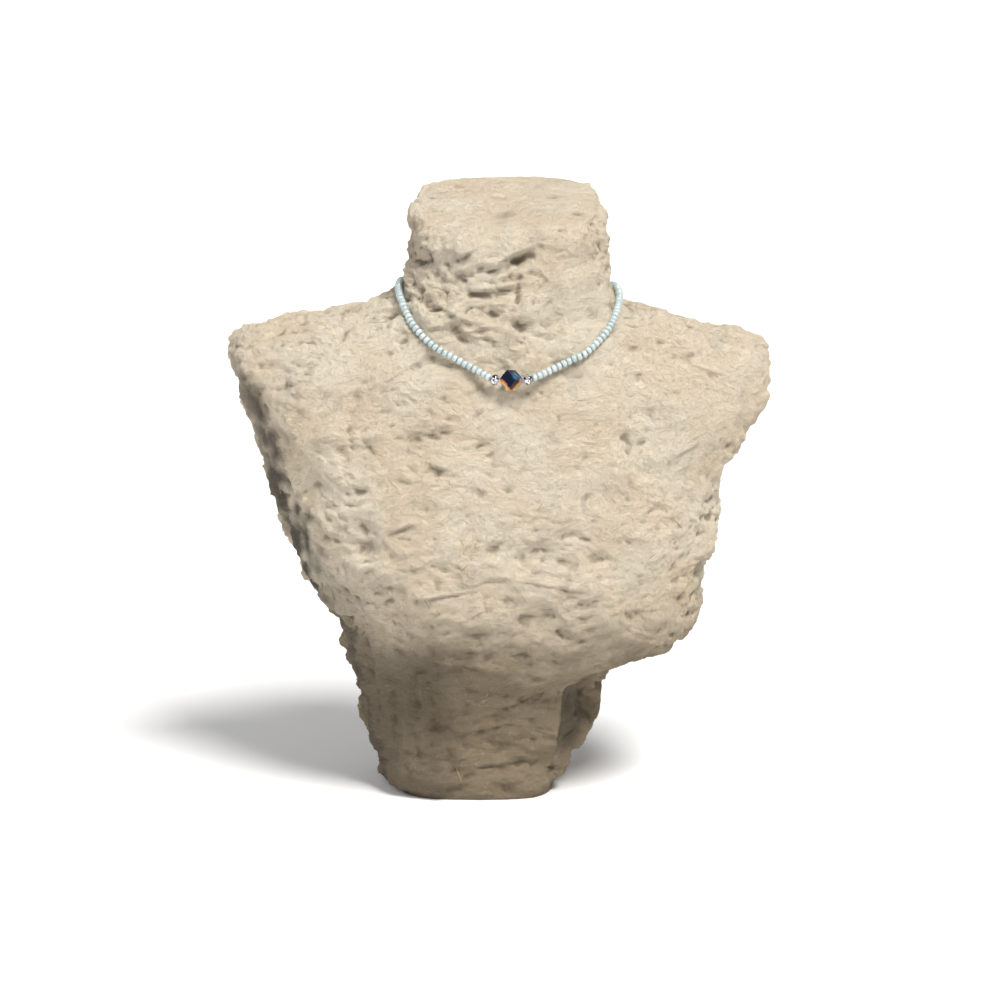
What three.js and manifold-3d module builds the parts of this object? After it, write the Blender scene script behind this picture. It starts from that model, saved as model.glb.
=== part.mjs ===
// A beaded choker necklace on a rough-cast neck bust. Millimetres, +Z up, the wearer's front towards -Y.
// The origin is the centre of the bust's flat foot, on the surface that it stands on. Right is +X.
import * as THREE from "three";
import { ImprovedNoise } from "three/addons/math/ImprovedNoise.js";
import { mergeVertices } from "three/addons/utils/BufferGeometryUtils.js";
import Module from "manifold-3d";

const wasm = await Module();
wasm.setup();

// ---- Driving dimensions of the necklace ---------------------------------------------------------

const GAP = 0.3; // between neighbouring pieces

const SEED_DIAMETER = 4.2; // a round seed bead of size 6/0
const SEED_LENGTH = 3.05; // along the thread
const SEED_END_DIAMETER = 2.5; // where one bead meets the next
const SEED_BELT = 0.4; // the share of a bead's length that has its full diameter
const SEED_SIDES = 8;

const CUBE_SIDE = 8; // the crystal cube, drilled from corner to corner
const CUBE_TIP_CUT = 0.6; // ground off each drilled corner
const CUBE_ROLL = THREE.MathUtils.degToRad(3); // about the thread
const CUBE_HOLE_DIAMETER = 1.8;
const CUBE_HOLE_SIDES = 12;
const CUTTER_SIZE = 3 * CUBE_SIDE; // reaches past the cube on every side

const SPACER_DIAMETER = 5.8; // the faceted metal rondelles beside the cube
const SPACER_LENGTH = 4.2;
const SPACER_END_DIAMETER = 3.5;
const SPACER_BELT = 0.25; // the share of its length that has its full diameter
const SPACER_HOLE_DIAMETER = 1.5;
const SPACER_FACETS = 12;

const THREAD_DIAMETER = 0.6;
const THREAD_SIDES = 8;
const THREAD_STEPS = 12;

const CLASP_LENGTH = 11; // the barrel clasp at the nape
const CLASP_DIAMETER = 4.4;
const CLASP_BARREL_LENGTH = 6.6;
const CLASP_NECK_LENGTH = 1.2; // at each end
const CLASP_NECK_DIAMETER = 1.8;
const CLASP_SIDES = 16;

// The thread's closed route: from the crystal cube up over the right shoulder, behind the neck and back.
const THREAD_ROUTE = [
  { x: 16.5, y: -54.5, z: 236 },
  { x: 26, y: -54, z: 236.5 },
  { x: 35, y: -49.5, z: 239.5 },
  { x: 46.5, y: -45, z: 244.5 },
  { x: 58, y: -41, z: 250 },
  { x: 69.5, y: -28, z: 261 },
  { x: 74.5, y: -9.5, z: 270.5 },
  { x: 75, y: 9, z: 275.5 },
  { x: 70.5, y: 29.5, z: 275.5 },
  { x: 55.5, y: 46, z: 271.5 },
  { x: 31.5, y: 54.5, z: 269.5 },
  { x: 2.5, y: 55, z: 269.5 },
  { x: -23.5, y: 49, z: 271.5 },
  { x: -40.5, y: 32.5, z: 277 },
  { x: -44, y: 9, z: 279.5 },
  { x: -43, y: -14, z: 275 },
  { x: -36, y: -32.5, z: 263 },
  { x: -25, y: -40.5, z: 252.5 },
  { x: -13, y: -44.5, z: 246 },
  { x: -2, y: -48.5, z: 240.5 },
  { x: 7, y: -54, z: 236.5 },
];

// ---- Driving dimensions of the bust -------------------------------------------------------------

// Level sections from the foot to the cut top of the neck. left and right are a section's ends along X, and
// front and back along Y. It is deepest at x = middle and widest at y = wide, and power squares its corners.
const SECTIONS = [
  { z: 0, left: -45, right: 40, front: -38, back: 37, middle: 0, wide: 0, power: 3.4 },
  { z: 10, left: -52, right: 42, front: -41, back: 39, middle: 0, wide: 0, power: 3.2 },
  { z: 23, left: -60, right: 50, front: -41, back: 40, middle: 2, wide: 2, power: 3.0 },
  { z: 36, left: -64, right: 62, front: -41, back: 41, middle: 5, wide: 5, power: 2.8 },
  { z: 48, left: -65, right: 65, front: -43, back: 42, middle: 8, wide: 8, power: 2.7 },
  { z: 59, left: -68, right: 65, front: -47, back: 43, middle: 10, wide: 10, power: 2.7 },
  { z: 67, left: -71, right: 68, front: -51, back: 44, middle: 12, wide: 12, power: 2.7 },
  { z: 75, left: -73, right: 80, front: -56, back: 45, middle: 14, wide: 14, power: 2.7 },
  { z: 85, left: -75, right: 105, front: -60, back: 46, middle: 15, wide: 15, power: 2.7 },
  { z: 98, left: -79, right: 118, front: -64, back: 47, middle: 15, wide: 16, power: 2.7 },
  { z: 116, left: -92, right: 120, front: -67, back: 48, middle: 15, wide: 16, power: 2.7 },
  { z: 137, left: -103, right: 127, front: -68, back: 48, middle: 15, wide: 16, power: 2.7 },
  { z: 160, left: -110, right: 127, front: -66, back: 48, middle: 15, wide: 15, power: 2.7 },
  { z: 182, left: -116, right: 132, front: -62, back: 48, middle: 15, wide: 14, power: 2.6 },
  { z: 204, left: -125, right: 148, front: -57, back: 48, middle: 15, wide: 12, power: 2.5 },
  { z: 222, left: -131, right: 154, front: -51.5, back: 48, middle: 15, wide: 10, power: 2.4 },
  { z: 236, left: -137, right: 156, front: -46.5, back: 47, middle: 15, wide: 8, power: 2.2 },
  { z: 246, left: -136.5, right: 155, front: -42.5, back: 47, middle: 15, wide: 7, power: 1.9 },
  { z: 253, left: -134, right: 150, front: -40.5, back: 48, middle: 15, wide: 7, power: 1.6 },
  { z: 258, left: -120, right: 116, front: -39.5, back: 49, middle: 15, wide: 7, power: 1.5 },
  { z: 262, left: -96, right: 95, front: -38.5, back: 50, middle: 15, wide: 8, power: 1.6 },
  { z: 267, left: -66, right: 80, front: -38, back: 52, middle: 15, wide: 9, power: 1.8 },
  { z: 273, left: -47, right: 73, front: -37, back: 54, middle: 15, wide: 10, power: 2.1 },
  { z: 281, left: -39.5, right: 69, front: -36, back: 55, middle: 15, wide: 11, power: 2.3 },
  { z: 294, left: -37, right: 67.5, front: -34.5, back: 56, middle: 15, wide: 12, power: 2.5 },
  { z: 307, left: -35.5, right: 66.5, front: -33, back: 57, middle: 15, wide: 12, power: 2.8 },
  { z: 319, left: -34.5, right: 65, front: -31, back: 56, middle: 15, wide: 13, power: 3.3 },
  { z: 323, left: -31.5, right: 62, front: -28, back: 53, middle: 15, wide: 13, power: 3.3 },
];
const RINGS_PER_ROW = 2;
const BUST_SIDES = 48;

const TOP_SLANT = 0.238; // the cut top rises this much for each millimetre towards the back
const TOP_CENTRE_Y = 12;
const SLANT_STARTS_Z = 272;
const SLANT_WHOLE_Z = 316;

const LUMP_HEIGHT = 2.2;
const LUMP_LENGTH = 26;
const LUMPS_START_Z = 2; // the foot's underside stays flat
const LUMPS_WHOLE_Z = 14;
const LUMPS_START_FROM_THREAD = 6; // and so does the bust under the beads
const LUMPS_WHOLE_FROM_THREAD = 22;
const THREAD_SAMPLES = 240; // points of the thread that the lumps keep clear of

// ---- Materials ----------------------------------------------------------------------------------

function material(color, roughness, metalness) {
  return new THREE.MeshStandardMaterial({ color, roughness, metalness });
}

const roughStone = material(0xd8c8ae, 0.95, 0);
const pearlGlass = material(0xc2dad9, 0.2, 0);
const coatedCrystal = material(0x0e1c33, 0.05, 0.4);
const silverMetal = material(0xc9cbd0, 0.15, 1);
const clearNylon = material(0xdfe6e4, 0.5, 0);

// ---- Geometry helpers ---------------------------------------------------------------------------

// A geometry with positions only, its shared vertices merged and its collapsed triangles left out.
function closed(geometry) {
  geometry.deleteAttribute("normal");
  geometry.deleteAttribute("uv");
  const merged = mergeVertices(geometry);
  const index = merged.index.array;
  const kept = [];
  for (let i = 0; i < index.length; i += 3) {
    const [a, b, c] = [index[i], index[i + 1], index[i + 2]];
    if (a !== b && b !== c && c !== a) kept.push(a, b, c);
  }
  merged.setIndex(kept);
  return merged;
}

// A body of revolution about Y: each row of the profile is [height, radius].
function turned(profile, sides) {
  const points = profile.map(([height, radius]) => new THREE.Vector2(radius, height));
  return closed(new THREE.LatheGeometry(points, sides));
}

function solid(geometry) {
  const positions = closed(geometry);
  const mesh = new wasm.Mesh({
    numProp: 3,
    vertProperties: positions.getAttribute("position").array,
    triVerts: new Uint32Array(positions.index.array),
  });
  return new wasm.Manifold(mesh);
}

function geometryOf(manifold) {
  const mesh = manifold.getMesh();
  const geometry = new THREE.BufferGeometry();
  geometry.setAttribute("position", new THREE.BufferAttribute(mesh.vertProperties, 3));
  geometry.setIndex(new THREE.BufferAttribute(mesh.triVerts, 1));
  return geometry;
}

// The row a share of the way down a table, eased through its neighbours by a Catmull-Rom spline.
function rowAt(table, share) {
  const place = share * (table.length - 1);
  const i = Math.min(Math.floor(place), table.length - 2);
  const t = place - i;
  const near = [i - 1, i, i + 1, i + 2].map((k) => table[THREE.MathUtils.clamp(k, 0, table.length - 1)]);
  const row = {};
  for (const key of Object.keys(near[0])) {
    const [a, b, c, d] = near.map((entry) => entry[key]);
    row[key] = b + (t * (c - a + t * (2 * a - 5 * b + 4 * c - d + t * (3 * b - a - 3 * c + d)))) / 2;
  }
  return row;
}

function makeMesh(name, geometry, meshMaterial) {
  const mesh = new THREE.Mesh(geometry, meshMaterial);
  mesh.name = name;
  return mesh;
}

// ---- The thread's route -------------------------------------------------------------------------

const corners = THREAD_ROUTE.map((point) => new THREE.Vector3(point.x, point.y, point.z));
const route = new THREE.CatmullRomCurve3(corners, true, "catmullrom");
route.arcLengthDivisions = 2000;
const LOOP_LENGTH = route.getLength();

// The point at a distance along the thread from the cube's middle, with the directions about it.
function threadFrame(distance) {
  const share = THREE.MathUtils.euclideanModulo(distance / LOOP_LENGTH, 1);
  const along = route.getTangentAt(share);
  const above = new THREE.Vector3(0, 0, 1).addScaledVector(along, -along.z).normalize();
  const behind = new THREE.Vector3().crossVectors(above, along);
  return { point: route.getPointAt(share), along, above, behind };
}

// A body of revolution whose axis is the thread: each row is [distance from the cube's middle, radius].
function turnedOnThread(profile, sides) {
  const geometry = turned(profile, sides);
  const position = geometry.getAttribute("position");
  for (let i = 0; i < position.count; i++) {
    const { point, above, behind } = threadFrame(position.getY(i));
    point.addScaledVector(above, position.getX(i)).addScaledVector(behind, position.getZ(i));
    position.setXYZ(i, point.x, point.y, point.z);
  }
  return geometry;
}

// Stands a straight piece, made about Y around its own middle, on the thread.
// It lies between the curve and its chord.
function placeOnThread(mesh, distance, length) {
  const { point, along, above, behind } = threadFrame(distance);
  const start = threadFrame(distance - length / 2).point;
  const chordMiddle = threadFrame(distance + length / 2).point.add(start).divideScalar(2);
  mesh.setRotationFromMatrix(new THREE.Matrix4().makeBasis(above, along, behind));
  mesh.position.copy(point.lerp(chordMiddle, 0.5));
  return mesh;
}

// ---- The bust -----------------------------------------------------------------------------------

// The point at a share of the way up, an angle round the section and a share of the way out from its middle.
function bustPoint(share, angle, out) {
  const row = rowAt(SECTIONS, share);
  const cos = Math.cos(angle);
  const sin = Math.sin(angle);
  const reachX = cos > 0 ? row.right - row.middle : row.middle - row.left;
  const reachY = sin > 0 ? row.back - row.wide : row.wide - row.front;
  const x = row.middle + out * reachX * Math.sign(cos) * Math.abs(cos) ** (2 / row.power);
  const y = row.wide + out * reachY * Math.sign(sin) * Math.abs(sin) ** (2 / row.power);
  const slant = TOP_SLANT * THREE.MathUtils.smoothstep(row.z, SLANT_STARTS_Z, SLANT_WHOLE_Z);
  return new THREE.Vector3(x, y, row.z + slant * (y - TOP_CENTRE_Y));
}

// A drum whose rings are sent to the bust's sections, and its two ends to the flat foot and the cut top.
function bustGeometry() {
  const rings = (SECTIONS.length - 1) * RINGS_PER_ROW;
  const profile = [
    [0, 0],
    [0, 0.5],
  ];
  for (let i = 0; i <= rings; i++) profile.push([i / rings, 1]);
  profile.push([1, 0.6], [1, 0]);
  const drum = turned(profile, BUST_SIDES);
  const position = drum.getAttribute("position");
  for (let i = 0; i < position.count; i++) {
    const x = position.getX(i);
    const z = position.getZ(i);
    const point = bustPoint(position.getY(i), Math.atan2(-z, x), Math.hypot(x, z));
    position.setXYZ(i, point.x, point.y, point.z);
  }
  addLumps(drum);
  return drum;
}

// Hand-worked lumps and hollows, which fade out towards the foot's underside and towards the beads.
function addLumps(geometry) {
  const { smoothstep } = THREE.MathUtils;
  const noise = new ImprovedNoise();
  const threadPoints = route.getSpacedPoints(THREAD_SAMPLES);
  geometry.computeVertexNormals();
  const position = geometry.getAttribute("position");
  const normal = geometry.getAttribute("normal");
  for (let i = 0; i < position.count; i++) {
    const point = new THREE.Vector3().fromBufferAttribute(position, i);
    const outward = new THREE.Vector3().fromBufferAttribute(normal, i);
    const { x, y, z } = point.clone().divideScalar(LUMP_LENGTH);
    const lump = noise.noise(x, y, z) + noise.noise(2 * x, 2 * y, 2 * z) / 2;
    const toThread = Math.min(...threadPoints.map((bead) => bead.distanceTo(point)));
    const share =
      smoothstep(toThread, LUMPS_START_FROM_THREAD, LUMPS_WHOLE_FROM_THREAD) *
      smoothstep(point.z, LUMPS_START_Z, LUMPS_WHOLE_Z);
    point.addScaledVector(outward, LUMP_HEIGHT * lump * share);
    position.setXYZ(i, point.x, point.y, point.z);
  }
}

// ---- The necklace's pieces ----------------------------------------------------------------------

const CUBE_LENGTH = CUBE_SIDE * Math.sqrt(3) - 2 * CUBE_TIP_CUT;
const SPACER_AT = CUBE_LENGTH / 2 + GAP + SPACER_LENGTH / 2;
const SEEDS_START = SPACER_AT + SPACER_LENGTH / 2 + GAP;
const SEEDS_END = LOOP_LENGTH / 2 - CLASP_LENGTH / 2 - GAP;
const SEEDS_A_SIDE = Math.round((SEEDS_END - SEEDS_START) / SEED_LENGTH);
const SEEDS_A_SOLID = Math.ceil(SEEDS_A_SIDE / 2);
const SEED_PITCH = (SEEDS_END - SEEDS_START) / SEEDS_A_SIDE;

// A cube standing on one corner about Y.
// That corner and the opposite one are ground flat, and it is drilled from one to the other.
function crystalCube() {
  const cube = new THREE.BoxGeometry(CUBE_SIDE, CUBE_SIDE, CUBE_SIDE);
  const diagonal = new THREE.Vector3(1, 1, 1).normalize();
  cube.applyQuaternion(new THREE.Quaternion().setFromUnitVectors(diagonal, new THREE.Vector3(0, 1, 0)));
  const betweenTips = new THREE.BoxGeometry(CUTTER_SIZE, CUBE_LENGTH, CUTTER_SIZE);
  const holeRadius = CUBE_HOLE_DIAMETER / 2;
  const drill = new THREE.CylinderGeometry(holeRadius, holeRadius, CUTTER_SIZE, CUBE_HOLE_SIDES);
  return geometryOf(solid(cube).intersect(solid(betweenTips)).subtract(solid(drill)));
}

function spacerBead() {
  const end = SPACER_LENGTH / 2;
  const belt = end * SPACER_BELT;
  const profile = [
    [-end, SPACER_HOLE_DIAMETER / 2],
    [-end, SPACER_END_DIAMETER / 2],
    [-belt, SPACER_DIAMETER / 2],
    [belt, SPACER_DIAMETER / 2],
    [end, SPACER_END_DIAMETER / 2],
    [end, SPACER_HOLE_DIAMETER / 2],
    [-end, SPACER_HOLE_DIAMETER / 2],
  ];
  return turned(profile, SPACER_FACETS);
}

// The row of round beads from one bead number to another, counted from the cube, on one side of it.
function seedBeads(first, last, side) {
  const start = SEEDS_START + first * SEED_PITCH + GAP / 2;
  const end = SEEDS_START + last * SEED_PITCH - GAP / 2;
  const pitch = (end - start) / (last - first);
  const belt = (pitch * SEED_BELT) / 2;
  const profile = [[start, 0]];
  for (let i = 0; i < last - first; i++) {
    const middle = start + (i + 0.5) * pitch;
    profile.push([middle - pitch / 2, SEED_END_DIAMETER / 2]);
    profile.push([middle - belt, SEED_DIAMETER / 2]);
    profile.push([middle + belt, SEED_DIAMETER / 2]);
  }
  profile.push([end, SEED_END_DIAMETER / 2], [end, 0]);
  if (side < 0) {
    const mirrored = profile.map(([along, radius]) => [-along, radius]).reverse();
    return turnedOnThread(mirrored, SEED_SIDES);
  }
  return turnedOnThread(profile, SEED_SIDES);
}

// The bare thread between the seed beads of the two sides, through the spacers and the cube.
function centreThread() {
  const end = SEEDS_START - GAP;
  const profile = [[-end, 0]];
  for (let i = 0; i <= THREAD_STEPS; i++) {
    profile.push([end * ((2 * i) / THREAD_STEPS - 1), THREAD_DIAMETER / 2]);
  }
  profile.push([end, 0]);
  return turnedOnThread(profile, THREAD_SIDES);
}

function barrelClasp() {
  const end = CLASP_LENGTH / 2;
  const neck = end - CLASP_NECK_LENGTH;
  const barrel = CLASP_BARREL_LENGTH / 2;
  const profile = [
    [-end, 0],
    [-end, CLASP_NECK_DIAMETER / 2],
    [-neck, CLASP_NECK_DIAMETER / 2],
    [-barrel, CLASP_DIAMETER / 2],
    [barrel, CLASP_DIAMETER / 2],
    [neck, CLASP_NECK_DIAMETER / 2],
    [end, CLASP_NECK_DIAMETER / 2],
    [end, 0],
  ];
  return turned(profile, CLASP_SIDES);
}

// ---- Assembly -----------------------------------------------------------------------------------

const chokerOnBust = new THREE.Group();
chokerOnBust.add(makeMesh("neck_bust", bustGeometry(), roughStone));

const cube = placeOnThread(makeMesh("crystal_cube", crystalCube(), coatedCrystal), 0, CUBE_LENGTH);
cube.rotateY(CUBE_ROLL);
chokerOnBust.add(cube, makeMesh("centre_thread", centreThread(), clearNylon));

for (const [name, side] of [
  ["right", 1],
  ["left", -1],
]) {
  const spacer = makeMesh(`spacer_bead_${name}`, spacerBead(), silverMetal);
  const front = seedBeads(0, SEEDS_A_SOLID, side);
  const back = seedBeads(SEEDS_A_SOLID, SEEDS_A_SIDE, side);
  chokerOnBust.add(placeOnThread(spacer, side * SPACER_AT, SPACER_LENGTH));
  chokerOnBust.add(makeMesh(`seed_beads_front_${name}`, front, pearlGlass));
  chokerOnBust.add(makeMesh(`seed_beads_back_${name}`, back, pearlGlass));
}

const clasp = makeMesh("barrel_clasp", barrelClasp(), silverMetal);
chokerOnBust.add(placeOnThread(clasp, LOOP_LENGTH / 2, CLASP_LENGTH));

export default chokerOnBust;
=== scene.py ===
"""Beaded choker necklace on a rough-cast neck bust: the visual model and its studio, for Blender 4.5."""
import math

import bmesh
import bpy
import numpy as np
from mathutils import Matrix, Vector


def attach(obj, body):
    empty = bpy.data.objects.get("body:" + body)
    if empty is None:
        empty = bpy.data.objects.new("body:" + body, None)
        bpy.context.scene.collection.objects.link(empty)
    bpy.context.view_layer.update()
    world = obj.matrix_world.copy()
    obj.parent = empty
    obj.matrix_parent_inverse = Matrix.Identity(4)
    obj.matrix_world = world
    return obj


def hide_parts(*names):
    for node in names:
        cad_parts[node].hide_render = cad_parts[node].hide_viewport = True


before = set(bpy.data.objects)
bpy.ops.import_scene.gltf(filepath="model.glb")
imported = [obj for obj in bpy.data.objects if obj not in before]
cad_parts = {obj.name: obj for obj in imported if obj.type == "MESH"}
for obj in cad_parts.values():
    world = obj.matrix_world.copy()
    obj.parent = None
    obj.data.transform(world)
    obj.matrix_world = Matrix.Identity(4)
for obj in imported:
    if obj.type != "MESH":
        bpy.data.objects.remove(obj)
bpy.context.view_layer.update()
MM = 0.001

# ---- Driving dimensions, in metres ---------------------------------------------------------------

GAP = 0.3 * MM

SEED_DIAMETER = 4.2 * MM
SEED_LENGTH = 3.05 * MM
SEED_HOLE = 1.2 * MM
SEED_SEGMENTS = 28
SEED_ROUNDNESS = 0.85  # 1 for an elliptical section, and less for a squarer one
SEED_PROFILE_STEPS = 14

CUBE_SIDE = 8 * MM
CUBE_TIP_CUT = 0.6 * MM
CUBE_EDGE = 0.12 * MM
COATING_UP = (0, 0.208, 0.978)  # the way the coating thickens: up, leaning back 12 degrees

SPACER_DIAMETER = 5.8 * MM
SPACER_LENGTH = 4.2 * MM
SPACER_HOLE = 1.5 * MM
SPACER_FACETS = 12

CLASP_LENGTH = 11 * MM
CLASP_DIAMETER = 4.4 * MM
CLASP_SEGMENTS = 40

# The thread's closed route, in millimetres: from the crystal cube up over the right shoulder,
# behind the neck and back.
THREAD_ROUTE = [
    (16.5, -54.5, 236),
    (26, -54, 236.5),
    (35, -49.5, 239.5),
    (46.5, -45, 244.5),
    (58, -41, 250),
    (69.5, -28, 261),
    (74.5, -9.5, 270.5),
    (75, 9, 275.5),
    (70.5, 29.5, 275.5),
    (55.5, 46, 271.5),
    (31.5, 54.5, 269.5),
    (2.5, 55, 269.5),
    (-23.5, 49, 271.5),
    (-40.5, 32.5, 277),
    (-44, 9, 279.5),
    (-43, -14, 275),
    (-36, -32.5, 263),
    (-25, -40.5, 252.5),
    (-13, -44.5, 246),
    (-2, -48.5, 240.5),
    (7, -54, 236.5),
]

BUST_VOXEL = 1.05 * MM
BUST_SMOOTHING = 24
BUST_TRIANGLES = 190000
FLAT_FOOT = 1.2 * MM  # nothing below this height moves off the flat underside

STRAW_PLACES = [(-73, 195), (-53, 196), (-28, 118), (-22, 113)]  # x and z in millimetres, in front
STRAW_RINGS = 6
STRAW_CORNERS = (0, 2.1, 4.2)  # angles round a fibre's section

# The bust's named marks: centre x and z in millimetres on its front, length along and width
# across, the turn of its length from level in degrees, and its height in millimetres, negative
# for a hollow. A lip ends sharply below.
MARKS = [
    # kind, x, z, along, across, turn, height
    ("hollow", 19, 296, 8, 4, -12, -5.5),
    ("lip", 17, 299, 12, 6, -20, 3.5),
    ("lip", -8, 300, 9, 5, -28, 2.6),
    ("lip", 8, 293, 8, 5, -12, 2.8),
    ("hollow", -6, 290, 11, 4, -30, -2.4),
    ("hollow", 21, 277, 3, 16, 0, -2.6),
    ("lip", 34, 288, 5, 7, 50, 2.0),
    ("hollow", 6, 277, 16, 4, -8, -2.2),
    ("lip", 2, 281, 14, 6, -10, 2.2),
    ("lip", -14, 268, 12, 6, 24, 2.4),
    ("lip", -2, 259, 10, 5, -18, 1.8),
    ("lip", 24, 264, 10, 5, -15, 1.8),
    ("lip", -41, 158, 11, 7, -22, 2.6),
    ("lip", -22, 191, 9, 6, 18, 1.8),
    ("lip", -44, 236, 10, 5, -42, 1.8),
    ("lip", 56, 203, 8, 4, 12, 1.4),
    ("lip", 110, 196, 12, 6, -20, 2.0),
    ("hollow", -70, 205, 7, 34, 8, -2.4),
    ("hollow", -60, 150, 8, 26, -10, -2.0),
    ("lip", 40, 128, 26, 8, 10, 2.4),
    ("lip", -20, 122, 24, 8, -8, 2.4),
    ("lip", -10, 82, 22, 8, 12, 2.6),
    ("lip", 22, 60, 26, 7, -28, 2.6),
    ("lip", 2, 42, 24, 8, -14, 2.4),
    ("lip", 12, 22, 30, 6, -6, 2.0),
]


# ---- Numbers: noise and the thread's route -------------------------------------------------------


def smoothstep(x, low, high):
    t = np.clip((x - low) / (high - low), 0.0, 1.0)
    return t * t * (3 - 2 * t)


class Noise:
    """Gradient noise in space, about -0.7 to 0.7, the same on each run."""

    def __init__(self, seed):
        rng = np.random.RandomState(seed)
        self.order = np.tile(rng.permutation(256), 3)
        directions = rng.normal(size=(256, 3))
        self.slopes = directions / np.linalg.norm(directions, axis=1)[:, None]

    def __call__(self, points):
        cell = np.floor(points).astype(int)
        part = points - cell
        ease = part**3 * (part * (part * 6 - 15) + 10)
        cell &= 255
        total = np.zeros(len(points))
        for dx in (0, 1):
            for dy in (0, 1):
                for dz in (0, 1):
                    column = self.order[self.order[cell[:, 0] + dx] + cell[:, 1] + dy]
                    corner = self.order[column + cell[:, 2] + dz]
                    offset = part - (dx, dy, dz)
                    share = np.where(dx, ease[:, 0], 1 - ease[:, 0])
                    share = share * np.where(dy, ease[:, 1], 1 - ease[:, 1])
                    share = share * np.where(dz, ease[:, 2], 1 - ease[:, 2])
                    total += share * (self.slopes[corner] * offset).sum(axis=1)
        return total

    def layered(self, points, octaves):
        total = np.zeros(len(points))
        for octave in range(octaves):
            total += self(points * 2**octave + 17.3 * octave) / 2**octave
        return total


def thread_curve(steps=60):
    """Points on the closed Catmull-Rom route, in metres, and how far along it each is from the cube."""
    corners = np.array(THREAD_ROUTE) * MM
    before, after, beyond = (np.roll(corners, shift, axis=0) for shift in (1, -1, -2))
    t = (np.arange(steps) / steps)[None, :, None]
    a, b, c, d = (rows[:, None, :] for rows in (before, corners, after, beyond))
    curve = b + (t * (c - a + t * (2 * a - 5 * b + 4 * c - d + t * (3 * b - a - 3 * c + d)))) / 2
    points = curve.reshape(-1, 3)
    points = np.vstack([points, points[:1]])
    along = np.concatenate([[0], np.cumsum(np.linalg.norm(np.diff(points, axis=0), axis=1))])
    return points, along


CURVE, ALONG = thread_curve()
LOOP_LENGTH = ALONG[-1]
CUBE_LENGTH = CUBE_SIDE * math.sqrt(3) - 2 * CUBE_TIP_CUT
SPACER_AT = CUBE_LENGTH / 2 + GAP + SPACER_LENGTH / 2
SEEDS_START = SPACER_AT + SPACER_LENGTH / 2 + GAP
SEEDS_END = LOOP_LENGTH / 2 - CLASP_LENGTH / 2 - GAP
SEEDS_A_SIDE = round((SEEDS_END - SEEDS_START) / SEED_LENGTH)
SEEDS_A_SOLID = math.ceil(SEEDS_A_SIDE / 2)
SEED_PITCH = (SEEDS_END - SEEDS_START) / SEEDS_A_SIDE


def thread_point(distance):
    place = distance % LOOP_LENGTH
    return Vector([np.interp(place, ALONG, CURVE[:, k]) for k in range(3)])


def thread_frame(distance, reach=0.0004):
    """A matrix at a distance along the thread: its Y runs along the thread and its X is the upper side."""
    point = thread_point(distance)
    along = (thread_point(distance + reach) - thread_point(distance - reach)).normalized()
    above = (Vector((0, 0, 1)) - along * along.z).normalized()
    turn = Matrix((above, along, above.cross(along))).transposed().to_4x4()
    return Matrix.Translation(point) @ turn


def piece_frame(distance, length):
    """The place of a straight piece on the thread, between the curve and its chord, as in the CAD."""
    place = thread_frame(distance)
    chord = (thread_point(distance - length / 2) + thread_point(distance + length / 2)) / 2
    place.translation = place.translation.lerp(chord, 0.5)
    return place


# ---- Mesh helpers --------------------------------------------------------------------------------


def add_piece(name, mesh, slot, *nodes, smooth=True):
    """Adds a finished piece of the object, which takes the place of the named CAD nodes."""
    piece = bpy.data.objects.new(name, mesh)
    bpy.context.collection.objects.link(piece)
    mesh.polygons.foreach_set("use_smooth", np.full(len(mesh.polygons), smooth))
    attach(piece, "root")
    if nodes:
        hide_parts(*nodes)
    return piece


def evaluated_mesh(source, name, modifiers):
    """A copy of a mesh with a list of (type, settings) modifiers applied."""
    holder = bpy.data.objects.new(name, source.copy())
    bpy.context.collection.objects.link(holder)
    for kind, settings in modifiers:
        modifier = holder.modifiers.new(kind, kind)
        for key, value in settings.items():
            setattr(modifier, key, value)
    graph = bpy.context.evaluated_depsgraph_get()
    mesh = bpy.data.meshes.new_from_object(holder.evaluated_get(graph))
    bpy.data.objects.remove(holder)
    mesh.name = name
    return mesh


def read_points(mesh):
    flat = np.empty(len(mesh.vertices) * 3)
    mesh.vertices.foreach_get("co", flat)
    return flat.reshape(-1, 3)


def read_normals(mesh):
    flat = np.empty(len(mesh.vertices) * 3)
    mesh.vertex_normals.foreach_get("vector", flat)
    return flat.reshape(-1, 3)


def write_points(mesh, points):
    mesh.vertices.foreach_set("co", points.ravel())
    mesh.update()


def write_attribute(mesh, name, values):
    attribute = mesh.attributes.new(name, "FLOAT", "POINT")
    attribute.data.foreach_set("value", values.astype(np.float32))


def turned(profile, segments, closed=False):
    """Vertices and faces of a body of revolution about Y, from rows of (height, radius)."""
    angles = 2 * math.pi * np.arange(segments) / segments
    circle = np.stack([np.cos(angles), np.zeros(segments), np.sin(angles)], axis=1)
    rings = [radius * circle + (0, height, 0) for height, radius in profile]
    count = len(profile)
    faces = []
    for i in range(count if closed else count - 1):
        j = (i + 1) % count
        for k in range(segments):
            n = (k + 1) % segments
            faces.append((i * segments + k, j * segments + k, j * segments + n, i * segments + n))
    if not closed:
        faces.append(tuple(range(segments)))
        faces.append(tuple(reversed(range((count - 1) * segments, count * segments))))
    return np.vstack(rings), faces


def mesh_of(name, vertices, faces):
    mesh = bpy.data.meshes.new(name)
    mesh.from_pydata([tuple(v) for v in vertices], [], faces)
    mesh.update()
    return mesh


# ---- Shader helpers ------------------------------------------------------------------------------


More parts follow.
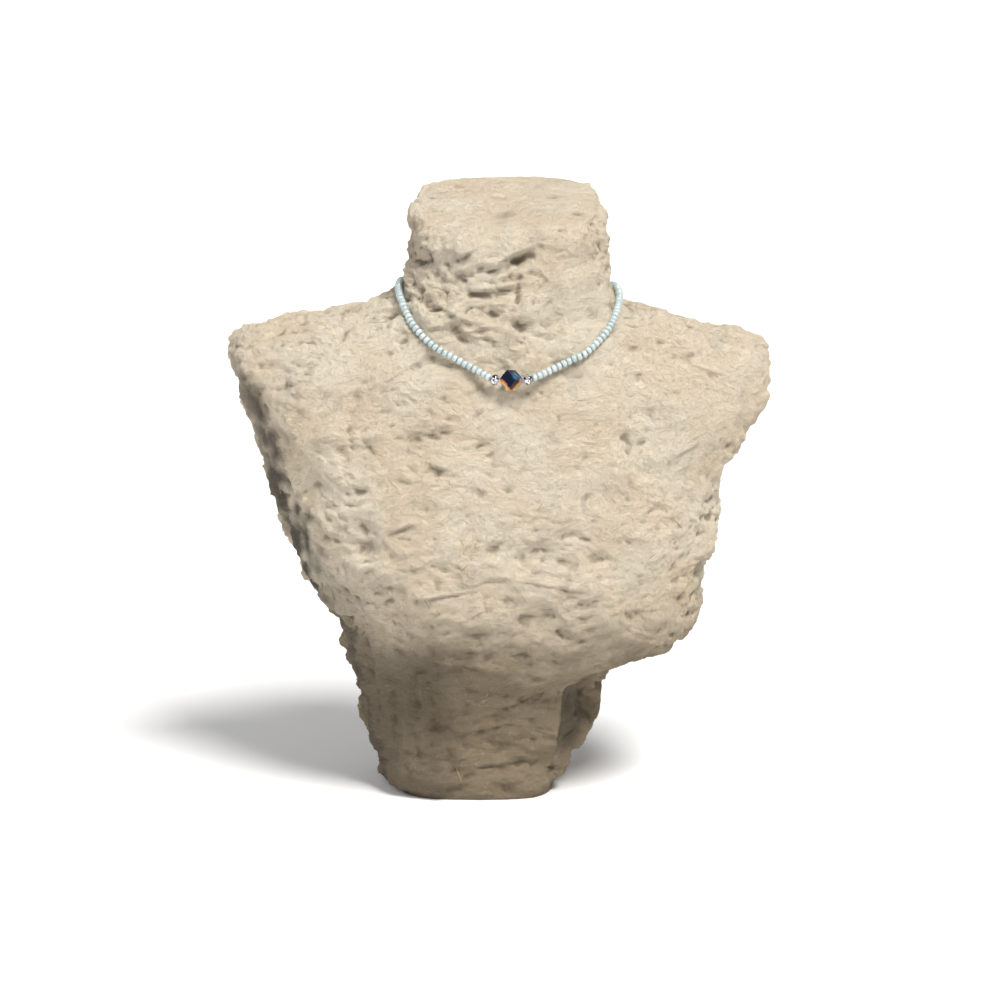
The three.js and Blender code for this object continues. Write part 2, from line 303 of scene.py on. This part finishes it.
class Shader:
    """A material whose nodes are added by short calls."""

    def __init__(self, name):
        self.material = bpy.data.materials.new(name)
        self.material.use_nodes = True
        self.nodes = self.material.node_tree.nodes
        self.links = self.material.node_tree.links
        self.surface = self.nodes["Principled BSDF"]
        self.place = self.nodes.new("ShaderNodeTexCoord").outputs["Object"]

    def put(self, target, value):
        if isinstance(value, bpy.types.NodeSocket):
            self.links.new(value, target)
        else:
            target.default_value = value

    def set(self, **values):
        for key, value in values.items():
            self.put(self.surface.inputs[key.replace("_", " ")], value)

    def noise(self, size, detail=4.0, roughness=0.55, stretch=(1, 1, 1), warp=0.0):
        """Noise from 0 to 1 whose largest features measure about size metres."""
        mapping = self.nodes.new("ShaderNodeMapping")
        mapping.inputs["Scale"].default_value = [s / size for s in stretch]
        self.links.new(self.place, mapping.inputs["Vector"])
        node = self.nodes.new("ShaderNodeTexNoise")
        node.inputs["Scale"].default_value = 1.0
        node.inputs["Detail"].default_value = detail
        node.inputs["Roughness"].default_value = roughness
        node.inputs["Distortion"].default_value = warp
        self.links.new(mapping.outputs["Vector"], node.inputs["Vector"])
        return node.outputs["Fac"]

    def height(self):
        node = self.nodes.new("ShaderNodeSeparateXYZ")
        self.links.new(self.place, node.inputs["Vector"])
        return node.outputs["Z"]

    def attribute(self, name):
        node = self.nodes.new("ShaderNodeAttribute")
        node.attribute_name = name
        return node.outputs["Fac"]

    def math(self, operation, *values):
        node = self.nodes.new("ShaderNodeMath")
        node.operation = operation
        for target, value in zip(node.inputs, values):
            self.put(target, value)
        return node.outputs[0]

    def spread(self, value, low, high, to_low=0.0, to_high=1.0):
        node = self.nodes.new("ShaderNodeMapRange")
        node.interpolation_type = "SMOOTHSTEP"
        self.put(node.inputs["Value"], value)
        node.inputs["From Min"].default_value = low
        node.inputs["From Max"].default_value = high
        node.inputs["To Min"].default_value = to_low
        node.inputs["To Max"].default_value = to_high
        return node.outputs["Result"]

    def mix(self, share, a, b):
        node = self.nodes.new("ShaderNodeMix")
        node.data_type = "RGBA"
        self.put(node.inputs["Factor"], share)
        self.put(node.inputs["A"], (*a, 1) if isinstance(a, tuple) else a)
        self.put(node.inputs["B"], (*b, 1) if isinstance(b, tuple) else b)
        return node.outputs["Result"]

    def ramp(self, value, stops):
        node = self.nodes.new("ShaderNodeValToRGB")
        elements = node.color_ramp.elements
        while len(elements) < len(stops):
            elements.new(0.5)
        for element, (position, colour) in zip(elements, stops):
            element.position = position
            element.color = (*colour, 1)
        self.links.new(value, node.inputs["Fac"])
        return node.outputs["Color"]

    def bump(self, height, distance, strength=1.0, under=None):
        node = self.nodes.new("ShaderNodeBump")
        node.inputs["Strength"].default_value = strength
        node.inputs["Distance"].default_value = distance
        self.links.new(height, node.inputs["Height"])
        if under is not None:
            self.links.new(under, node.inputs["Normal"])
        return node.outputs["Normal"]


# ---- Materials -----------------------------------------------------------------------------------

CREAM = (0.81, 0.68, 0.51)
PALE_CREAM = (0.88, 0.78, 0.62)
OCHRE = (0.70, 0.54, 0.35)
GREY = (0.58, 0.50, 0.40)
# the next colour is painted shade, for the lower torso
SHADED = (0.29, 0.225, 0.145)
# the next colour is painted shade, for the hollows of the relief
PAINTED_CREVICE_SHADE = (0.16, 0.125, 0.08)
# the next colour is painted shade, for the left side faces, the broken-away recess and the lower left folds
PAINTED_DARK_SHADE = (0.09, 0.08, 0.07)


def rough_stone():
    shader = Shader("rough_stone")
    height = shader.height()
    patches = shader.noise(0.045, 4, 0.6)
    # Painted shade: the lower torso is painted darker towards the foot, as where the chest's overhang
    # shades it, with a wavering edge.
    foot_shade = shader.spread(shader.math("MULTIPLY_ADD", patches, -0.11, height), 0.082, 0.005)
    colour = shader.mix(shader.spread(patches, 0.35, 0.65), CREAM, PALE_CREAM)
    colour = shader.mix(shader.spread(shader.noise(0.034, 5, 0.6), 0.54, 0.74, 0, 0.55), colour, OCHRE)
    stains = shader.noise(0.025, 6, 0.65, (1.3, 1, 0.8))
    colour = shader.mix(shader.spread(stains, 0.52, 0.74, 0, 0.6), colour, GREY)
    # Painted light: the crests of the relief are painted paler, as where the light catches them.
    colour = shader.mix(shader.spread(shader.attribute("hollow"), -0.1, -0.9, 0, 0.35), colour, PALE_CREAM)
    # Painted shade: the lower torso takes the SHADED colour, darkest at the foot.
    colour = shader.mix(shader.math("MULTIPLY", foot_shade, 0.92), colour, SHADED)
    colour = shader.mix(shader.spread(shader.noise(0.0025, 4, 0.7), 0.56, 0.72, 0, 0.35), colour, GREY)
    # Painted shade: the left side faces, the broken-away recess and the lower left folds are painted near
    # black.
    colour = shader.mix(shader.math("MULTIPLY", shader.attribute("side"), 0.9), colour, PAINTED_DARK_SHADE)
    # Painted shade: broad dips and small hollows of the relief are painted darker, as where shade falls in
    # them.
    colour = shader.mix(shader.spread(shader.attribute("dip"), 0.1, 1.0, 0, 0.35), colour, PAINTED_CREVICE_SHADE)
    colour = shader.mix(shader.spread(shader.attribute("hollow"), 0.12, 1.2, 0, 0.5), colour, PAINTED_CREVICE_SHADE)
    lumps = shader.bump(shader.noise(0.0055, 9, 0.78, (1, 1, 1.3), 0.5), 0.0064, 1.0)
    sand = shader.bump(shader.noise(0.0011, 3, 0.65), 0.0004, 1.0, lumps)
    matt = shader.spread(shader.noise(0.01), 0.3, 0.7, 0.86, 0.98)
    shader.set(Base_Color=colour, Roughness=matt, Normal=sand)
    shader.set(**{"Specular IOR Level": 0.12})
    return shader.material


def pearl_glass():
    shader = Shader("pearl_glass")
    tint = shader.spread(shader.attribute("bead"), 0, 1)
    colour = shader.mix(tint, (0.33, 0.42, 0.43), (0.45, 0.51, 0.51))
    cloud = shader.spread(shader.noise(0.003, 3), 0.35, 0.7, 0, 0.4)
    colour = shader.mix(cloud, colour, (0.50, 0.56, 0.56))
    shader.set(Base_Color=colour, Roughness=shader.spread(shader.noise(0.0016, 2), 0.3, 0.7, 0.12, 0.22))
    shader.set(**{"Subsurface Weight": 0.85, "Subsurface Scale": 0.0018, "Specular IOR Level": 0.9})
    shader.set(**{"Coat Weight": 1.0, "Coat Roughness": 0.08, "Coat IOR": 1.7})
    shader.surface.inputs["Subsurface Radius"].default_value = (0.9, 1.0, 1.0)
    return shader.material


def coated_crystal():
    shader = Shader("coated_crystal")
    navy = (0.004, 0.008, 0.026)
    bands = [
        (0.0, (0.20, 0.20, 0.18)),
        (0.07, (0.46, 0.41, 0.30)),
        (0.15, (0.55, 0.29, 0.06)),
        (0.28, (0.46, 0.17, 0.015)),
        (0.37, (0.12, 0.02, 0.07)),
        (0.44, navy),
        (1.0, navy),
    ]
    waver = shader.spread(shader.noise(0.004, 2), 0.3, 0.7, -0.09, 0.09)
    colour = shader.ramp(shader.math("ADD", shader.attribute("coating"), waver), bands)
    gleam = shader.spread(shader.noise(0.0036, 1, 0.5, (1, 2.2, 1)), 0.42, 0.6, 0.15, 1)
    teal = shader.math("MULTIPLY", shader.attribute("teal"), gleam)
    colour = shader.mix(teal, colour, (0.012, 0.12, 0.22))
    colour = shader.mix(shader.attribute("glint"), colour, (0.01, 0.05, 0.62))
    polish = shader.spread(shader.noise(0.001, 2), 0.3, 0.7, 0.03, 0.08)
    shader.set(Base_Color=colour, Roughness=polish, IOR=1.3)
    return shader.material


def silver_metal():
    shader = Shader("silver_metal")
    # Painted reflection: the facets are mottled dark navy and bright silver, standing in for dark
    # surroundings mirrored in them; the mottle also varies the roughness.
    reflection_mottle = shader.noise(0.0014, 1, 0.5)
    colour = shader.mix(shader.spread(reflection_mottle, 0.42, 0.55), (0.035, 0.045, 0.10), (0.86, 0.85, 0.85))
    shader.set(Base_Color=colour, Metallic=1.0, Roughness=shader.spread(reflection_mottle, 0.3, 0.7, 0.04, 0.12))
    return shader.material


def straw():
    shader = Shader("straw")
    fibre = shader.noise(0.0012, 4, 0.6)
    shader.set(Base_Color=shader.mix(fibre, (0.30, 0.19, 0.08), (0.62, 0.50, 0.30)), Roughness=0.8)
    shader.set(Normal=shader.bump(fibre, 0.0001, 0.6))
    return shader.material


def clear_nylon():
    shader = Shader("clear_nylon")
    fibre = shader.noise(0.0006, 3, 0.5, (1, 3, 3))
    shader.set(Base_Color=shader.mix(fibre, (0.66, 0.72, 0.70), (0.82, 0.86, 0.84)), Roughness=0.35)
    shader.set(Normal=shader.bump(fibre, 0.00004, 0.5))
    return shader.material


# ---- The bust ------------------------------------------------------------------------------------


def room_to_beads(points):
    """How far each point may move before it meets a bead."""
    guard = np.full(len(CURVE), SEED_DIAMETER / 2 + 0.25 * MM)
    from_cube = np.minimum(ALONG, LOOP_LENGTH - ALONG)
    guard[from_cube < SEEDS_START] = SPACER_DIAMETER / 2 + 0.3 * MM
    guard[from_cube < CUBE_LENGTH / 2] = CUBE_SIDE * math.sqrt(2 / 3) + 0.2 * MM
    room = np.full(len(points), 1.0)
    inside = (points > CURVE.min(axis=0) - 0.02) & (points < CURVE.max(axis=0) + 0.02)
    near = np.where(inside.all(axis=1))[0]
    for part in np.array_split(near, max(1, len(near) // 4000)):
        apart = np.linalg.norm(points[part][:, None, :] - CURVE[None, ::3, :], axis=2)
        room[part] = (apart - guard[None, ::3]).min(axis=1)
    return room


def add_mark(rise, points, centre, normal, kind, along, across, turn, height):
    """Adds one hollow or lip to the rise of the points near it. All lengths are in metres."""
    near = np.where(np.abs(points - centre).max(axis=1) < 2 * max(along, across))[0]
    level = np.cross(normal, (0, 0, 1))
    level /= max(np.linalg.norm(level), 1e-6)
    up = np.cross(level, normal)
    offset = points[near] - centre
    u = (offset @ (math.cos(turn) * level + math.sin(turn) * up)) / along
    v = (offset @ (math.cos(turn) * up - math.sin(turn) * level)) / across
    fade = np.exp(-2 * u**2 - (offset @ normal / max(along, across)) ** 2)
    if kind == "lip":
        shape = smoothstep(v, -0.1, 0.12) * np.exp(-1.8 * np.maximum(v, 0))
    else:
        shape = np.exp(-2 * v**2)
    rise[near] += height * shape * fade


def named_marks(rise, points, normals):
    front = np.where(normals[:, 1] < -0.3)[0]
    for kind, x, z, along, across, turn, height in MARKS:
        apart = np.hypot(points[front, 0] - x * MM, points[front, 2] - z * MM)
        at = front[apart.argmin()]
        sizes = (along * MM, across * MM, math.radians(turn), height * MM)
        add_mark(rise, points, points[at], normals[at], kind, *sizes)


def scattered_marks(rise, points, normals, kind, count, seed, along, across, height, turn):
    """Marks at random places, with sizes between the two ends of each range, in millimetres."""
    rng = np.random.RandomState(seed)
    for at in rng.randint(len(points), size=count):
        share = rng.rand() ** 1.6
        sizes = [(low + share * (high - low)) * MM for low, high in (along, across, height)]
        lean = turn * rng.uniform(-1, 1)
        add_mark(rise, points, points[at], normals[at], kind, sizes[0], sizes[1], lean, sizes[2])


def flakes(field):
    """Turns a smooth field into flat steps with steep broken edges."""
    step = np.floor(field)
    return step + smoothstep(field - step, 0.0, 0.3)


def crumpled(seed, points, layers):
    """Mixed soft lumps and sharp crests, from rows of (size, height) in millimetres."""
    noise = Noise(seed)
    total = np.zeros(len(points))
    for number, (size, height) in enumerate(layers):
        wave = noise(points / (size * MM) + 7.7 * number)
        total += height * MM * (1.1 * wave + 0.45 - 1.5 * np.abs(wave))
    return total


def bust_relief(points, normals):
    """How far each point of the smooth bust rises, and its share of painted dark shade."""
    x, y, z = points.T
    wander = Noise(3)
    swirl = np.stack([wander(points / (26 * MM) + 5 * k) for k in range(3)], axis=1)
    grain = (points + 7 * MM * swirl) @ np.diag([0.8, 1.0, 1.25])
    front = smoothstep(-normals[:, 1], 0.1, 0.5)
    neck = smoothstep(z, 250 * MM, 262 * MM) * smoothstep(z, 312 * MM, 303 * MM)
    left_neck = neck * front * smoothstep(x, 40 * MM, 15 * MM)
    # Painted shade: the left faces that turn away from the key lamp, on the front half, are painted dark.
    turned_away = smoothstep(-normals[:, 0] + 0.25 * wander(points / (9 * MM)), 0.68, 0.88)
    side = turned_away * smoothstep(x, -20 * MM, -50 * MM) * (1 - neck)
    side *= (0.7 + 0.3 * smoothstep(z, 95 * MM, 120 * MM)) * smoothstep(y, 5 * MM, -20 * MM)
    smoother = smoothstep(x, 40 * MM, 75 * MM) * smoothstep(z, 140 * MM, 180 * MM)
    top = smoothstep(normals[:, 2], 0.6, 0.85) * smoothstep(z, 285 * MM, 295 * MM)
    rough = 0.9 + 0.8 * left_neck - 0.3 * smoother - 0.5 * top + 0.9 * wander(points / (48 * MM) + 40)
    rough += 0.9 * smoothstep(np.abs(normals[:, 1]), 0.75, 0.3) * (1 - top)

    rise = 2.2 * MM * Noise(5).layered(points / (34 * MM), 2)
    rise += rough * crumpled(7, grain, [(18, 1.5), (9.5, 1.05), (5.2, 0.55), (3, 0.3)])
    rise += rough * 0.65 * MM * flakes(5 * Noise(11).layered(grain / (24 * MM), 3))
    drawn = np.stack([x / (7 * MM), y / (12 * MM), z / (46 * MM)], axis=1) + 0.8 * swirl
    folds = smoothstep(z, 105 * MM, 80 * MM) * smoothstep(x, 0, -25 * MM)
    rise += 3.0 * MM * folds * Noise(15)(drawn)
    broken_top = z + 0.45 * (x - 44 * MM) + 24 * MM * swirl[:, 1]
    broken_away = smoothstep(x + 20 * MM * swirl[:, 0], 38 * MM, 46 * MM)
    broken_away *= smoothstep(broken_top, 78 * MM, 66 * MM)
    broken_away *= smoothstep(-normals[:, 1], 0.2, 0.5)
    rise -= 7 * MM * broken_away

    shifted = points + 1.6 * MM * swirl
    named_marks(rise, shifted, normals)
    scattered_marks(rise, shifted, normals, "lip", 520, 17, (2.5, 10), (1.5, 5), (0.4, 1.5), 0.7)
    scattered_marks(rise, shifted, normals, "hollow", 45, 19, (1.5, 8), (1, 3), (-0.4, -1.2), 0.9)
    # The second value is painted shade: the left side faces, the broken-away recess and the lower left
    # folds.
    return rise, np.maximum(side, np.maximum(0.6 * broken_away, 0.45 * folds * front))


def neighbour_mean(edges, values):
    """The mean of a value over each vertex's neighbours."""
    count = np.bincount(edges.ravel(), minlength=len(values))
    total = np.bincount(edges[:, 0], values[edges[:, 1]], len(values))
    total += np.bincount(edges[:, 1], values[edges[:, 0]], len(values))
    return total / np.maximum(count, 1)


def hollowness(mesh, passes):
    """How deep each vertex lies below its neighbours, positive in hollows and negative on ridges."""
    edges = np.empty(2 * len(mesh.edges), dtype=np.int32)
    mesh.edges.foreach_get("vertices", edges)
    edges = edges.reshape(-1, 2)
    points = read_points(mesh)
    middle = points
    for _ in range(passes):
        middle = np.stack([neighbour_mean(edges, axis) for axis in middle.T], axis=1)
    depth = ((middle - points) * read_normals(mesh)).sum(axis=1)
    return (depth + neighbour_mean(edges, depth)) / 2


def neck_bust():
    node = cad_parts["neck_bust"]
    smooth = [
        ("REMESH", {"mode": "VOXEL", "voxel_size": BUST_VOXEL}),
        ("SMOOTH", {"factor": 0.5, "iterations": BUST_SMOOTHING}),
    ]
    mesh = evaluated_mesh(node.data, "neck_bust_base", smooth)
    points = read_points(mesh)
    normals = read_normals(mesh)
    rise, side = bust_relief(points, normals)
    rise = np.minimum(rise, room_to_beads(points))
    rise *= smoothstep(points[:, 2], FLAT_FOOT, 6 * MM)
    moved = points + normals * rise[:, None]
    moved[:, 2] = np.maximum(moved[:, 2], 0)
    moved[points[:, 2] < FLAT_FOOT, 2] = 0
    write_points(mesh, moved)
    # The side attribute carries painted shade into the cast's colour.
    write_attribute(mesh, "side", side)
    triangles = sum(len(face.vertices) - 2 for face in mesh.polygons)
    thinning = {"ratio": min(1.0, BUST_TRIANGLES / triangles)}
    mesh = evaluated_mesh(mesh, "neck_bust_cast", [("DECIMATE", thinning)])
    # The hollow and dip depths drive the cast's painted shade in hollows and its painted light on crests.
    write_attribute(mesh, "hollow", hollowness(mesh, 3) / (0.5 * MM))
    write_attribute(mesh, "dip", hollowness(mesh, 14) / (1.5 * MM))
    mesh.materials.clear()
    mesh.materials.append(rough_stone())
    return add_piece("neck_bust_cast", mesh, "rough_stone", "neck_bust")


def straw_bits(bust, count=46):
    """Short bent fibres half sunk in the cast's surface, the first few in front and the rest anywhere."""
    rng = np.random.RandomState(43)
    points = read_points(bust.data)
    normals = read_normals(bust.data)
    free = np.where((room_to_beads(points) > 8 * MM) & (points[:, 2] > 15 * MM))[0]
    vertices, faces = [], []
    for i in range(count):
        at = rng.choice(free)
        if i < len(STRAW_PLACES):
            x, z = STRAW_PLACES[i]
            front = free[normals[free, 1] < -0.3]
            apart = np.hypot(points[front, 0] - x * MM, points[front, 2] - z * MM)
            at = front[apart.argmin()]
        normal = Vector(normals[at])
        level = normal.cross(Vector((0, 0, 1))).normalized()
        run = (Matrix.Rotation(rng.uniform(-1.2, 1.2), 3, normal) @ level).normalized()
        across = normal.cross(run)
        length = rng.uniform(3, 9) * MM
        bend = rng.uniform(-0.15, 0.15)
        start = len(vertices)
        for k in range(STRAW_RINGS):
            t = k / (STRAW_RINGS - 1) - 0.5
            middle = Vector(points[at]) + length * (t * run + bend * (t**2) * across) + 0.1 * MM * normal
            thick = 0.28 * MM * (1.1 - abs(t))
            for angle in STRAW_CORNERS:
                vertices.append(middle + thick * (math.cos(angle) * across + math.sin(angle) * normal))
        for row in range(start, len(vertices) - 3, 3):
            for j in range(3):
                n = (j + 1) % 3
                faces.append((row + j, row + n, row + 3 + n, row + 3 + j))
        last = len(vertices) - 3
        faces.append((start, start + 2, start + 1))
        faces.append((last, last + 1, last + 2))
    mesh = mesh_of("straw_bits", vertices, faces)
    mesh.materials.append(straw())
    return add_piece("straw_bits", mesh, "rough_stone")


# ---- The beads -----------------------------------------------------------------------------------


def seed_profile(length, diameter):
    """A round bead's closed section, from the hole's edge out over the belt and back through the hole."""
    rows = []
    half = length / 2
    hole = SEED_HOLE / 2
    depth = diameter / 2 - hole
    for k in range(SEED_PROFILE_STEPS + 1):
        angle = math.pi * k / SEED_PROFILE_STEPS
        out = abs(math.sin(angle)) ** SEED_ROUNDNESS
        end = math.copysign(abs(math.cos(angle)) ** SEED_ROUNDNESS, math.cos(angle))
        rows.append((-half * end, hole + depth * out))
    return rows


def seed_beads(name, first, last, side, material, seed):
    """One row of beads on the thread, each with its own size, lean and tint."""
    rng = np.random.RandomState(seed)
    vertices, faces, tints = [], [], []
    for i in range(first, last):
        length = SEED_PITCH * rng.uniform(0.93, 0.985)
        diameter = SEED_DIAMETER * rng.uniform(0.95, 1.02)
        shape, around = turned(seed_profile(length, diameter), SEED_SEGMENTS, closed=True)
        lean = Matrix.Rotation(rng.normal(0, 0.045), 4, "X") @ Matrix.Rotation(rng.normal(0, 0.045), 4, "Z")
        shift = Matrix.Translation(Vector((rng.normal(0, 0.07), 0, rng.normal(0, 0.07))) * MM)
        place = np.array(thread_frame(side * (SEEDS_START + (i + 0.5) * SEED_PITCH)) @ shift @ lean)
        start = sum(len(part) for part in vertices)
        vertices.append(shape @ place[:3, :3].T + place[:3, 3])
        faces += [tuple(start + k for k in face) for face in around]
        tints.append(np.full(len(shape), rng.rand()))
    mesh = mesh_of(name, np.vstack(vertices), faces)
    write_attribute(mesh, "bead", np.concatenate(tints))
    mesh.materials.append(material)
    return mesh


def bevelled(mesh, width, segments=2, cuts=0):
    """Rounds a mesh's sharp edges, after its flat faces are made whole again, and cuts its faces finer."""
    form = bmesh.new()
    form.from_mesh(mesh)
    bmesh.ops.remove_doubles(form, verts=form.verts, dist=1e-6)
    bmesh.ops.dissolve_limit(form, angle_limit=math.radians(1), verts=form.verts, edges=form.edges)
    sharp = [edge for edge in form.edges if edge.calc_face_angle(0) > math.radians(12)]
    bmesh.ops.bevel(form, geom=sharp, offset=width, segments=segments, affect="EDGES", profile=0.5)
    if cuts:
        bmesh.ops.triangulate(form, faces=form.faces)
        bmesh.ops.subdivide_edges(form, edges=form.edges, cuts=cuts, use_grid_fill=True)
    bmesh.ops.recalc_face_normals(form, faces=form.faces)
    form.to_mesh(mesh)
    form.free()
    return mesh


def crystal_cube():
    """The cut cube with softened edges. Its coating thins out towards its two lower edges."""
    mesh = bevelled(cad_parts["crystal_cube"].data.copy(), CUBE_EDGE, cuts=11)
    reach = 0.52 * CUBE_LENGTH
    offset = read_points(mesh) - np.array(thread_point(0))
    height = offset @ COATING_UP / reach
    across = offset[:, 0] / reach
    write_attribute(mesh, "coating", np.clip(1.02 - np.abs(across) + height, 0, 1))
    write_attribute(mesh, "teal", smoothstep(across, 0.0, 0.35) * smoothstep(height, -0.1, 0.25))
    write_attribute(mesh, "glint", smoothstep(across, 0.72, 0.95) * smoothstep(np.abs(height), 0.3, 0.1))
    mesh.materials.clear()
    mesh.materials.append(coated_crystal())
    return add_piece("crystal_cube_bead", mesh, "coated_crystal", "crystal_cube", smooth=False)


def spacer_bead(name, distance, material):
    """A rondelle with two belts of facets that meet in a zigzag, and small flats round its hole."""
    rings = [
        # height as a share of the length, radius, turn as a share of a facet
        (-0.5, SPACER_HOLE / 2, 0.0),
        (-0.5, SPACER_DIAMETER * 0.29, 0.0),
        (-0.16, SPACER_DIAMETER * 0.5, 0.5),
        (0.16, SPACER_DIAMETER * 0.5, 0.0),
        (0.5, SPACER_DIAMETER * 0.29, 0.5),
        (0.5, SPACER_HOLE / 2, 0.5),
    ]
    form = bmesh.new()
    rows = []
    for height, radius, turn in rings:
        angles = [2 * math.pi * (k + turn) / SPACER_FACETS for k in range(SPACER_FACETS)]
        spots = [(radius * math.cos(a), height * SPACER_LENGTH, radius * math.sin(a)) for a in angles]
        rows.append([form.verts.new(spot) for spot in spots])
    for i, row in enumerate(rows):
        after = rows[(i + 1) % len(rows)]
        turn, turn_after = rings[i][2], rings[(i + 1) % len(rings)][2]
        for k in range(SPACER_FACETS):
            n = (k + 1) % SPACER_FACETS
            if turn == turn_after:
                form.faces.new((row[k], row[n], after[n], after[k]))
            elif turn < turn_after:
                form.faces.new((row[k], row[n], after[k]))
                form.faces.new((row[n], after[n], after[k]))
            else:
                form.faces.new((row[k], row[n], after[n]))
                form.faces.new((row[k], after[n], after[k]))
    bmesh.ops.recalc_face_normals(form, faces=form.faces)
    mesh = bpy.data.meshes.new(name)
    form.to_mesh(mesh)
    form.free()
    bevelled(mesh, 0.07 * MM, 2)
    mesh.transform(piece_frame(distance, SPACER_LENGTH))
    mesh.materials.append(material)
    return mesh


def barrel_clasp(material):
    """A two-part screw barrel with a raised ring at each mouth and a narrow neck at each end."""
    half = CLASP_LENGTH / 2
    radius = CLASP_DIAMETER / 2
    profile = [
        # height from the middle and radius, as shares of the half length and of the full radius
        (1.0, 0.3),
        (0.98, 0.4),
        (0.8, 0.4),
        (0.74, 0.62),
        (0.64, 0.86),
        (0.52, 0.96),
        (0.3, 0.98),
        (0.1, 0.94),
        (0.09, 1.0),
        (0.015, 1.0),
        (0.01, 0.93),
    ]
    rows = [(-height * half, share * radius) for height, share in profile]
    rows += [(height * half, share * radius) for height, share in reversed(profile)]
    vertices, faces = turned(rows, CLASP_SEGMENTS)
    mesh = mesh_of("barrel_clasp_screw", vertices, faces)
    bevelled(mesh, 0.05 * MM, 1)
    mesh.transform(piece_frame(LOOP_LENGTH / 2, CLASP_LENGTH))
    mesh.materials.append(material)
    return mesh


# ---- Studio --------------------------------------------------------------------------------------

CAMERA_ELEVATION = math.radians(12)
CAMERA_DISTANCE = 1.6
CAMERA_TARGET = Vector((0.0106, 0, 0.1602))
CAMERA_LENS = 104.7  # on a 36 mm sensor
CAMERA_REACH = 1000  # past the floor's far corners
FLOOR_REACH = 300  # from its middle to its sides


def sun(name, azimuth, elevation, strength, angle, colour):
    """A soft distant lamp, with its angles in degrees and its azimuth from the front to the right."""
    lamp = bpy.data.lights.new(name, "SUN")
    lamp.energy = strength
    lamp.angle = math.radians(angle)
    lamp.color = colour
    holder = bpy.data.objects.new(name, lamp)
    azimuth, elevation = math.radians(azimuth), math.radians(elevation)
    level = math.cos(elevation)
    from_where = Vector((level * math.sin(azimuth), -level * math.cos(azimuth), math.sin(elevation)))
    holder.rotation_euler = from_where.to_track_quat("Z", "Y").to_euler()
    bpy.context.collection.objects.link(holder)


def studio():
    scene = bpy.context.scene
    scene.view_settings.view_transform = "Standard"
    camera = bpy.data.cameras.new("camera")
    camera.lens = CAMERA_LENS
    camera.clip_end = CAMERA_REACH
    holder = bpy.data.objects.new("camera", camera)
    away = Vector((0, -math.cos(CAMERA_ELEVATION), math.sin(CAMERA_ELEVATION)))
    holder.location = CAMERA_TARGET + CAMERA_DISTANCE * away
    holder.rotation_euler = away.to_track_quat("Z", "Y").to_euler()
    scene.collection.objects.link(holder)
    scene.camera = holder

    corners = [(-FLOOR_REACH, -FLOOR_REACH, 0), (FLOOR_REACH, -FLOOR_REACH, 0)]
    corners += [(FLOOR_REACH, FLOOR_REACH, 0), (-FLOOR_REACH, FLOOR_REACH, 0)]
    floor_mesh = mesh_of("floor", corners, [(0, 1, 2, 3)])
    floor = bpy.data.objects.new("floor", floor_mesh)
    scene.collection.objects.link(floor)
    paper = Shader("floor_paper")
    cloud = paper.noise(0.4, 2)
    paper.set(Base_Color=paper.mix(cloud, (0.80, 0.80, 0.80), (0.82, 0.82, 0.82)), Roughness=0.9)
    floor_mesh.materials.append(paper.material)

    world = bpy.data.worlds.new("world")
    scene.world = world
    world.use_nodes = True
    world.node_tree.nodes["Background"].inputs["Color"].default_value = (1, 1, 1, 1)
    world.node_tree.nodes["Background"].inputs["Strength"].default_value = 0.42
    sun("key", azimuth=38, elevation=58, strength=4.5, angle=22, colour=(1.0, 0.985, 0.96))
    sun("fill", azimuth=-50, elevation=42, strength=0.7, angle=40, colour=(0.97, 0.98, 1.0))


# ---- Assembly ------------------------------------------------------------------------------------

studio()
straw_bits(neck_bust())
crystal_cube()

metal = silver_metal()
pearl = pearl_glass()
for side_name, side in (("right", 1), ("left", -1)):
    spacer = spacer_bead(f"rondelle_{side_name}", side * SPACER_AT, metal)
    add_piece(f"rondelle_{side_name}", spacer, "silver_metal", f"spacer_bead_{side_name}", smooth=False)
    rows = (("front", 0, SEEDS_A_SOLID), ("back", SEEDS_A_SOLID, SEEDS_A_SIDE))
    for number, (row_name, first, last) in enumerate(rows):
        name = f"seeds_{row_name}_{side_name}"
        row = seed_beads(name, first, last, side, pearl, 31 + 2 * number + side)
        add_piece(name, row, "pearl_glass", f"seed_beads_{row_name}_{side_name}")

add_piece("barrel_clasp_screw", barrel_clasp(metal), "silver_metal", "barrel_clasp")

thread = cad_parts["centre_thread"]
thread.data.materials.clear()
thread.data.materials.append(clear_nylon())
